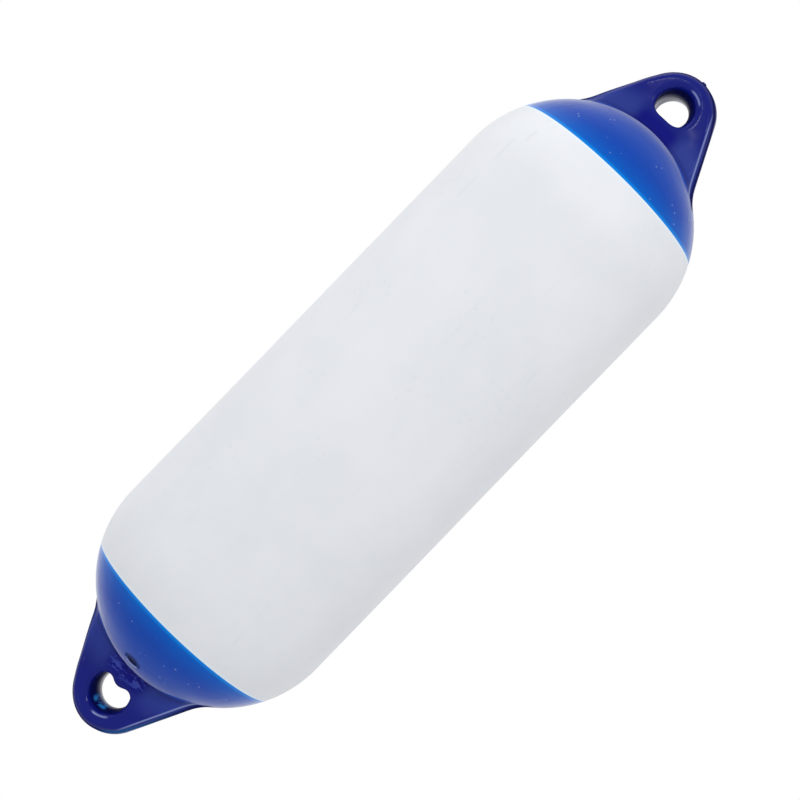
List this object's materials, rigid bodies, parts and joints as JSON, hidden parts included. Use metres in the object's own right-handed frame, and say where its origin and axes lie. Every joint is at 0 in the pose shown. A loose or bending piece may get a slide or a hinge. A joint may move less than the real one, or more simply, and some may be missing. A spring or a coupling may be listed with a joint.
{
  "type": "inflatable boat fender",
  "caption": "Inflatable cylindrical boat fender with a white vinyl body, blue moulded rope-eye ends and an inflation valve.",
  "frame": {"origin": "middle of the fender, on its axis", "axes": "+Z along the fender towards the end it hangs from; the eye holes run along Y; the valve is in the lower end, towards -Y"},
  "size_m": [0.15, 0.15, 0.5214],
  "materials": {
    "white_vinyl": "satin inflated vinyl",
    "blue_vinyl": "glossy moulded vinyl",
    "valve_plastic": "satin moulded plastic",
    "gasket_rubber": "matte rubber"
  },
  "bodies": {
    "root": {"body_shell": "white_vinyl", "upper_eye_end": "blue_vinyl", "lower_eye_end": "blue_vinyl", "valve_body": "valve_plastic", "valve_gasket": "gasket_rubber", "valve_screw": "valve_plastic"}
  },
  "joints": []
}
